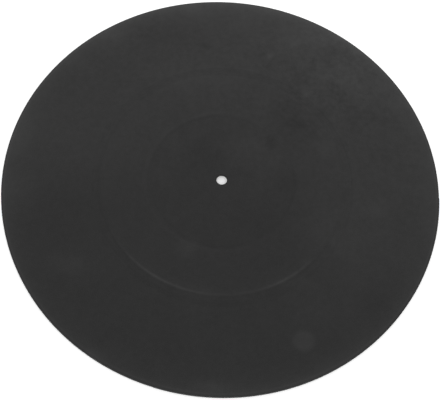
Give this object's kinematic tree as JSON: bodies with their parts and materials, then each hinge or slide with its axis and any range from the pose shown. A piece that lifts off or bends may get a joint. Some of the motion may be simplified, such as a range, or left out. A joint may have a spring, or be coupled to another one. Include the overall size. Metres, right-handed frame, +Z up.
{
  "type": "turntable platter mat",
  "caption": "Thin round rubber mat with a spindle hole in its middle, a shallow label recess, and a shallow ring-shaped channel for a small record's raised rim.",
  "frame": {"origin": "on the spindle's axis, at the underside that lies on the platter", "axes": "+Z up along the spindle's axis, out of the face that the record lies on; X and Y lie in the plane of the mat and are free, because the mat is round"},
  "size_m": [0.295, 0.295, 0.003],
  "materials": {
    "black_rubber": "matt moulded black rubber, a little scuffed and dusty"
  },
  "bodies": {
    "root": {"platter_mat": "black_rubber"}
  },
  "joints": []
}
